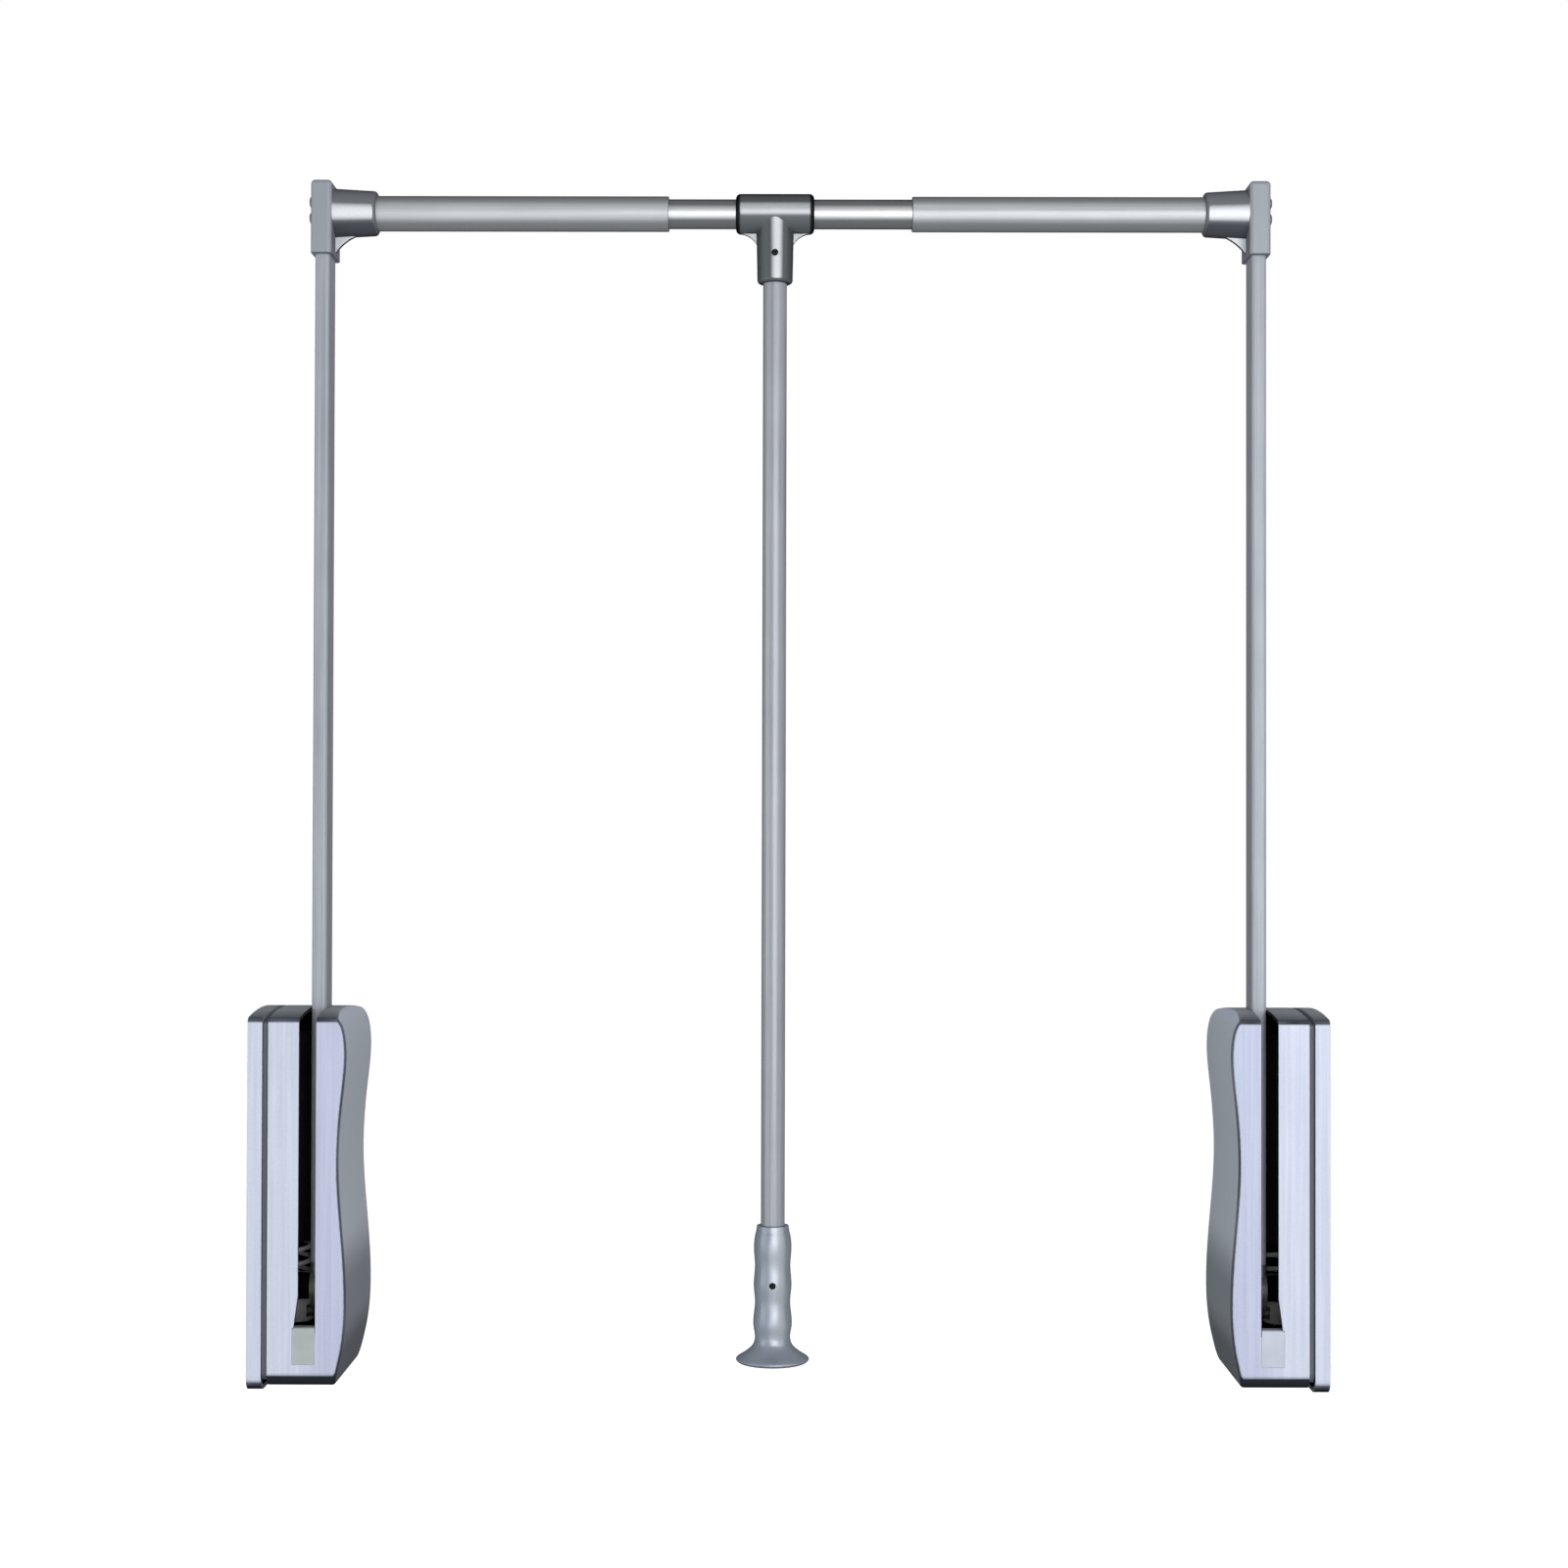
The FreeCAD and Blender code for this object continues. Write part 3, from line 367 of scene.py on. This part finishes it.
def flanks(dark_at, pale_at, lift=0.0, aside=0.0):
    # What turns away from the front and back, or from directions lifted or turned aside by degrees; it takes
    # painted shade, so the crest keeps a painted highlight
    up = math.radians(lift)
    right = math.radians(aside)

    def mask(tree, place, facing):
        turn = axes(tree, facing)
        level = product(tree, size_of(tree, turn[1]), math.cos(up) * math.cos(right))
        level = math_node(tree, "MULTIPLY_ADD", turn[2], math.sin(up), level)
        level = math_node(tree, "MULTIPLY_ADD", turn[0], math.sin(right), level)
        return ramp(tree, level, pale_at, dark_at, top=flank_share, smooth=True)
    return mask


def underside(start_at, end_at):
    # What faces down, for painted shade underneath
    def mask(tree, place, facing):
        return ramp(tree, axes(tree, facing)[2], start_at, end_at, smooth=True)
    return mask


def beyond(centre, distance, fade):
    # What lies further than that along X from a centre
    def mask(tree, place, facing):
        away = size_of(tree, math_node(tree, "SUBTRACT", axes(tree, place)[0], centre))
        return ramp(tree, away, distance - fade, distance + fade)
    return mask


# Wear and painted light of the metals: soft clouds, edges painted paler on some metals, as wear and
# highlight, and darker on others, as shade, and how far the lines and flakes change the roughness
metal_cloud_scale = 26.0
metal_cloud_tone = grey(0.64)
metal_cloud_share = 0.35
metal_flake_scale = 1900.0
metal_edge_share = 0.30
metal_gloss = rgb(0.12, 0.12, 0.13)
line_wear = 0.05
flake_wear = 0.03


def metal(name, pale, deep, lines, roughness, metallic, painted_edge_tone, edge_radius=0.0006, shades_and_tones=(), grain=0.07,
          specular=0.0):
    # Drawn, plated or moulded metal, with fine lines that run one way, edges in a painted tone, and masked
    # areas tinted, mostly as painted shade around a painted highlight, some in the part's own tone
    made, tree, shader, place, facing = start(name)
    line = noise(tree, stretched(tree, place, lines), detail=4.0, roughness=0.6)
    cloud = noise(tree, place, metal_cloud_scale, detail=2.0)
    flake = noise(tree, place, metal_flake_scale, detail=1.0)
    colour = blend(tree, spread(tree, line, 0.0, 1.0), deep, pale)
    colour = blend(tree, spread(tree, cloud, 0.0, metal_cloud_share), colour, metal_cloud_tone, "SOFT_LIGHT")
    soft, edge = edge_share(tree, edge_radius)
    # Edges take the painted edge tone, paler as wear and highlight, darker as shade
    colour = blend(tree, product(tree, edge, metal_edge_share), colour, painted_edge_tone)
    # Masked areas get painted shade, and the corner's block face its own tone
    for mask, tint in shades_and_tones:
        colour = blend(tree, mask(tree, place, facing), colour, tint)
    tree.links.new(colour, shader.inputs["Base Color"])
    worn = spread(tree, line, roughness - line_wear, roughness + line_wear)
    worn = math_node(tree, "ADD", worn, spread(tree, flake, -flake_wear, flake_wear))
    tree.links.new(worn, shader.inputs["Roughness"])
    shader.inputs["Metallic"].default_value = metallic
    shader.inputs["Specular IOR Level"].default_value = specular
    shader.inputs["Specular Tint"].default_value = metal_gloss
    bumped(tree, shader, math_node(tree, "ADD", line, flake), strength=grain, distance=0.00015, normal=soft)
    return made


# Wear of the nylons: soft clouds, and edges that are polished and paler
nylon_cloud_scale = 45.0
nylon_edge_radius = 0.0006
nylon_edge_gain = 1.6
nylon_edge_share = 0.25
nylon_edge_polish = 0.12
nylon_wear = (-0.06, 0.08)
nylon_depth = (0.004, 0.0045, 0.004)


def nylon(name, pale, deep, roughness, grain_scale, subsurface=0.0, specular=0.3):
    # Moulded plastic with a fine spark-eroded grain
    made, tree, shader, place, _ = start(name)
    fine = noise(tree, place, grain_scale)
    cloud = noise(tree, place, nylon_cloud_scale, detail=2.0)
    colour = blend(tree, spread(tree, cloud, 0.0, 1.0), deep, pale)
    soft, edge = edge_share(tree, nylon_edge_radius)
    polished = tuple(min(1.0, nylon_edge_gain * channel) for channel in pale)
    colour = blend(tree, product(tree, edge, nylon_edge_share), colour, polished)
    tree.links.new(colour, shader.inputs["Base Color"])
    worn = spread(tree, fine, *(roughness + change for change in nylon_wear))
    worn = math_node(tree, "SUBTRACT", worn, product(tree, edge, nylon_edge_polish))
    tree.links.new(worn, shader.inputs["Roughness"])
    shader.inputs["Specular IOR Level"].default_value = specular
    shader.inputs["Subsurface Weight"].default_value = subsurface
    shader.inputs["Subsurface Radius"].default_value = nylon_depth
    bumped(tree, shader, fine, strength=0.12, distance=0.0002, normal=soft)
    return made


# How the lines of a metal run, as noise scales along X, Y and Z
along_x = (3.5, 330.0, 330.0)
along_z = (520.0, 520.0, 7.0)
any_way = (900.0, 900.0, 900.0)

# Where the corner's block face keeps its own tone and where the tee's rims get painted shade
block_width = 0.015
block_face = connector_high.x - block_width
tee_rim = 0.003
tee_rim_start = (tee_high.x - tee_low.x) / 2 - tee_rim

materials = {
    "housing": lacquer("housing_silver_lacquer"),
    "arm": metal("arm_satin_silver", rgb(0.372, 0.393, 0.436), rgb(0.275, 0.293, 0.330), along_z,
                 roughness=0.38, metallic=0.12, painted_edge_tone=grey(0.5)),
    # Rails: the darker flanks are painted shade, which leaves a painted highlight along the front and back
    # crest
    "rail": metal("rail_satin_silver", rgb(0.43, 0.445, 0.46), rgb(0.30, 0.312, 0.325), along_x,
                  roughness=0.44, metallic=0.42, painted_edge_tone=grey(0.5),
                  shades_and_tones=[(flanks(0.72, 0.98, lift=-4.0), rgb(0.20, 0.21, 0.222))]),
    # Inner tube: darker flanks as painted shade around a painted highlight on the crest
    "bright": metal("rail_bright_plate", rgb(0.44, 0.45, 0.46), rgb(0.36, 0.37, 0.38), along_x,
                    roughness=0.36, metallic=0.62, painted_edge_tone=grey(0.6),
                    shades_and_tones=[(flanks(0.84, 0.985, lift=-5.0), rgb(0.125, 0.132, 0.14))]),
    "rod": metal("rod_satin_silver", rgb(0.319, 0.334, 0.365), rgb(0.241, 0.256, 0.281), along_z,
                 roughness=0.33, metallic=0.24, painted_edge_tone=grey(0.5)),
    # Corner: the pale tone is a painted highlight left on the front and back crest; flanks, underside and
    # edges get painted shade, and the block face keeps its own tone
    "corner": metal("corner_moulded_silver", rgb(0.64, 0.66, 0.69), rgb(0.58, 0.60, 0.63), any_way,
                    roughness=0.36, metallic=0.16, painted_edge_tone=grey(0.10), edge_radius=0.0009, grain=0.025,
                    shades_and_tones=[(flanks(0.915, 0.990, lift=-8.0), rgb(0.140, 0.148, 0.165)),
                           (underside(-0.40, -0.65), rgb(0.075, 0.081, 0.094)),
                           (beyond(0.0, block_face, fade=0.0002), rgb(0.297, 0.318, 0.352))]),
    # Tee: darker flanks, underside, edges and rims are painted shade around a painted highlight on the crest
    "tee": metal("tee_moulded_silver", rgb(0.39, 0.40, 0.417), rgb(0.345, 0.356, 0.373), any_way,
                 roughness=0.42, metallic=0.50, painted_edge_tone=grey(0.06), edge_radius=0.0009, grain=0.025,
                 shades_and_tones=[(flanks(0.92, 0.992, lift=5.0, aside=6.0), rgb(0.068, 0.076, 0.082)),
                        (underside(-0.30, -0.60), rgb(0.102, 0.112, 0.116)),
                        (beyond(tee_middle, tee_rim_start, fade=0.0008), rgb(0.010, 0.011, 0.013))]),
    # Grip: darker flanks, turned aside, and a darker underside are painted shade around a painted highlight
    "grip": metal("grip_moulded_silver", rgb(0.345, 0.376, 0.412), rgb(0.310, 0.338, 0.372), any_way,
                  roughness=0.35, metallic=0.34, painted_edge_tone=grey(0.3), edge_radius=0.0009, grain=0.015,
                  shades_and_tones=[(flanks(0.80, 0.985, aside=15.0), rgb(0.226, 0.256, 0.304)),
                         (underside(-0.15, -0.60), rgb(0.15, 0.165, 0.19))]),
    "zinc": metal("zinc_plated_steel", rgb(0.36, 0.37, 0.38), rgb(0.26, 0.27, 0.28), any_way,
                  roughness=0.33, metallic=0.75, painted_edge_tone=grey(0.5), edge_radius=0.0003, specular=0.2),
    "lever": metal("blackened_steel", rgb(0.16, 0.155, 0.155), rgb(0.10, 0.098, 0.098), any_way,
                   roughness=0.40, metallic=0.40, painted_edge_tone=grey(0.12), edge_radius=0.0004, specular=0.2),
    # Spring steel painted much paler than oiled wire, as painted light deep in the housing
    "spring": metal("spring_wire_painted_paler", rgb(0.76, 0.75, 0.76), rgb(0.56, 0.55, 0.56), any_way,
                    roughness=0.34, metallic=0.30, painted_edge_tone=grey(0.40), edge_radius=0.0003, specular=0.3),
    "black": nylon("black_moulded_nylon", grey(0.010), grey(0.005), roughness=0.56, grain_scale=900.0,
                   specular=0.08),
    # Dark nylon painted pale, as painted light on the carriage deep in the housing
    "dark": nylon("dark_nylon_painted_paler", grey(0.56), grey(0.43), roughness=0.48, grain_scale=900.0),
    # The stop pads are one white nylon in two copies, the left painted darker and greener, the right paler
    # and bluer, as painted shade and light
    "pad": nylon("stop_nylon_shaded_copy", rgb(0.43, 0.477, 0.477), rgb(0.345, 0.383, 0.383),
                 roughness=0.42, grain_scale=600.0, subsurface=0.12),
    "white_pad": nylon("stop_nylon_lit_copy", rgb(0.54, 0.58, 0.665), rgb(0.455, 0.495, 0.58),
                       roughness=0.42, grain_scale=600.0, subsurface=0.12)}

# The finish of each node, without its side where both sides are alike
finishes = {
    "wall_plate": "housing", "housing_cover": "housing", "cover_screws": "zinc",
    "left_stop_pad": "pad", "right_stop_pad": "white_pad", "pivot_axle": "lever", "axle_clip": "lever",
    "spring_sleeve": "black", "damper_body": "black", "lift_spring": "spring", "arm_lever": "lever",
    "axle_bushes": "black", "crank_pin": "lever", "arm_tube": "arm", "corner_connector": "corner",
    "connector_screws": "lever", "outer_tube": "rail", "slide_bush": "black", "spring_carriage": "dark",
    # The tee and grip screws take black nylon as painted shade in their holes
    "damper_rod": "lever", "inner_tube": "bright", "tee_connector": "tee", "tee_screw": "black",
    "grip_screw": "black", "pull_rod": "rod", "handle_grip": "grip"}


def finish_of(node):
    plain_name = node.removeprefix("left_").removeprefix("right_")
    return materials[finishes.get(node) or finishes[plain_name]]


for name, thing in nodes.items():
    thing.data.materials.clear()
    thing.data.materials.append(finish_of(name))

# Lift springs, wound as round wire with closed ends
spring_wire = 0.0034
spring_turns = 19
spring_steps = 40
spring_sides = 12
closed_turns = 1.1
closed_lead = 1.02 * spring_wire


def coil_points(centre, low, high, radius):
    length = high - low - spring_wire
    pitch = (length - 2 * closed_turns * closed_lead) / (spring_turns - 2 * closed_turns)
    points = []
    for step in range(spring_turns * spring_steps + 1):
        turn = step / spring_steps
        if turn < closed_turns:
            rise = turn * closed_lead
        elif turn < spring_turns - closed_turns:
            rise = closed_turns * closed_lead + (turn - closed_turns) * pitch
        else:
            rise = length - (spring_turns - turn) * closed_lead
        angle = 2 * math.pi * turn
        x = centre.x + radius * math.cos(angle)
        y = centre.y + radius * math.sin(angle)
        points.append(Vector((x, y, low + spring_wire / 2 + rise)))
    return points


def wire_mesh(name, points, radius, sides):
    verts = []
    faces = []
    last = len(points) - 1
    for index, point in enumerate(points):
        ahead = (points[min(index + 1, last)] - points[max(index - 1, 0)]).normalized()
        across = ahead.cross(Vector((0, 0, 1))).normalized()
        over = across.cross(ahead)
        for side in range(sides):
            angle = 2 * math.pi * side / sides
            verts.append(point + (across * math.cos(angle) + over * math.sin(angle)) * radius)
    for ring in range(0, last * sides, sides):
        for side in range(sides):
            following = (side + 1) % sides
            faces.append((ring + side, ring + following, ring + sides + following, ring + sides + side))
    faces.append(tuple(reversed(range(sides))))
    faces.append(tuple(last * sides + side for side in range(sides)))
    mesh = bpy.data.meshes.new(name)
    mesh.from_pydata(verts, [], faces)
    mesh.polygons.foreach_set("use_smooth", [len(face.vertices) == 4 for face in mesh.polygons])
    mesh.update()
    made = bpy.data.objects.new(name, mesh)
    scene.collection.objects.link(made)
    return made


def wound_spring(side):
    low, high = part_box(side + "_lift_spring")
    middle = (low + high) / 2
    route = coil_points(middle, low.z, high.z, (high.x - low.x - spring_wire) / 2)
    coil = wire_mesh(side + "_wound_spring", route, spring_wire / 2, spring_sides)
    coil.data.materials.append(materials["spring"])
    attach(coil, side + "_unit")
    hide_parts(side + "_lift_spring")
    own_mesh(coil)


wound_spring("left")
wound_spring("right")

# Studio: a pale floor well below the part, a white background and soft light
floor_z = -0.42
floor_reach = 9.0
floor_tone = grey(0.30)
floor_glow = 0.86
floor_glow_radius = 0.5
floor_white_radius = 1.0
room_tone = rgb(0.93, 0.96, 1.0)
room_strength = 0.07


def seen_directly(tree):
    # 1 for what the camera sees, also in gloss and through clear pieces, and 0 for light on the part
    path = add(tree, "LightPath").outputs
    share = math_node(tree, "MAXIMUM", path["Is Camera Ray"], path["Is Glossy Ray"])
    return math_node(tree, "MAXIMUM", share, path["Is Transmission Ray"])


def white_world():
    world = bpy.data.worlds.new("studio")
    world.use_nodes = True
    tree = world.node_tree
    tree.nodes.clear()
    room = add(tree, "Background", {"Color": room_tone, "Strength": room_strength})
    white = add(tree, "Background", {"Color": grey(1.0), "Strength": 1.0})
    mixed = add(tree, "MixShader", {0: seen_directly(tree), 1: room.outputs[0], 2: white.outputs[0]})
    tree.links.new(mixed.outputs[0], add(tree, "OutputWorld").inputs[0])
    scene.world = world


def floor_finish():
    made = bpy.data.materials.new("pale_floor")
    made.use_nodes = True
    tree = made.node_tree
    tree.nodes.clear()
    matt = add(tree, "BsdfDiffuse", {"Color": floor_tone})
    place = add(tree, "NewGeometry").outputs["Position"]
    away = add(tree, "VectorMath", {0: place}, operation="LENGTH").outputs["Value"]
    level = ramp(tree, away, floor_glow_radius, floor_white_radius, bottom=floor_glow)
    glow = add(tree, "Emission", {"Color": grey(1.0), "Strength": level})
    lit = add(tree, "MixShader", {0: seen_directly(tree), 2: glow.outputs[0]})
    both = add(tree, "AddShader", {0: matt.outputs[0], 1: lit.outputs[0]})
    tree.links.new(both.outputs[0], add(tree, "OutputMaterial").inputs[0])
    return made


def pale_floor():
    mesh = bpy.data.meshes.new("floor")
    corners = [(-floor_reach, -floor_reach, 0), (floor_reach, -floor_reach, 0),
               (floor_reach, floor_reach, 0), (-floor_reach, floor_reach, 0)]
    mesh.from_pydata(corners, [], [(0, 1, 2, 3)])
    mesh.materials.append(floor_finish())
    floor = bpy.data.objects.new("floor", mesh)
    floor.location = (0, 0, floor_z)
    scene.collection.objects.link(floor)


def softbox(name, place, aim, wide, high, power, tint):
    lamp = bpy.data.lights.new(name, "AREA")
    lamp.shape = "RECTANGLE"
    lamp.size = wide
    lamp.size_y = high
    lamp.energy = power
    lamp.color = tint
    made = bpy.data.objects.new(name, lamp)
    made.location = place
    made.rotation_euler = (Vector(aim) - Vector(place)).to_track_quat("-Z", "Y").to_euler()
    scene.collection.objects.link(made)


white_world()
pale_floor()
part_middle = (0.0, 0.0, 0.42)
part_foot = (0.0, 0.0, 0.25)
softbox("key", (0.55, -2.55, 0.62), part_middle, wide=1.9, high=1.3, power=45.0, tint=(0.98, 0.985, 1.0))
softbox("low", (0.0, -1.9, -0.12), part_foot, wide=2.2, high=0.4, power=6.0, tint=(0.96, 0.98, 1.0))
softbox("fill_left", (-2.2, -1.0, 0.45), part_middle, wide=2.2, high=1.6, power=24.0, tint=(0.98, 1.0, 0.97))
softbox("fill_right", (2.0, -1.2, 1.0), part_middle, wide=2.2, high=2.0, power=15.0, tint=(1.0, 1.0, 0.95))
softbox("back", (0.0, 2.4, 1.3), part_middle, wide=1.6, high=1.2, power=26.0, tint=(1.0, 1.0, 1.0))

# Camera at the photograph's place and angle
camera_place = (0.0026, -1.8104, 0.3987)
camera_degrees = (90.737, -0.135, 0.198)
camera_lens = 58.2
camera_sensor = 36.0

view = bpy.data.cameras.new("view")
view.sensor_fit = "HORIZONTAL"
view.sensor_width = camera_sensor
view.lens = camera_lens
camera = bpy.data.objects.new("view", view)
camera.location = camera_place
camera.rotation_euler = tuple(math.radians(angle) for angle in camera_degrees)
scene.collection.objects.link(camera)
scene.camera = camera
scene.view_settings.view_transform = "Standard"
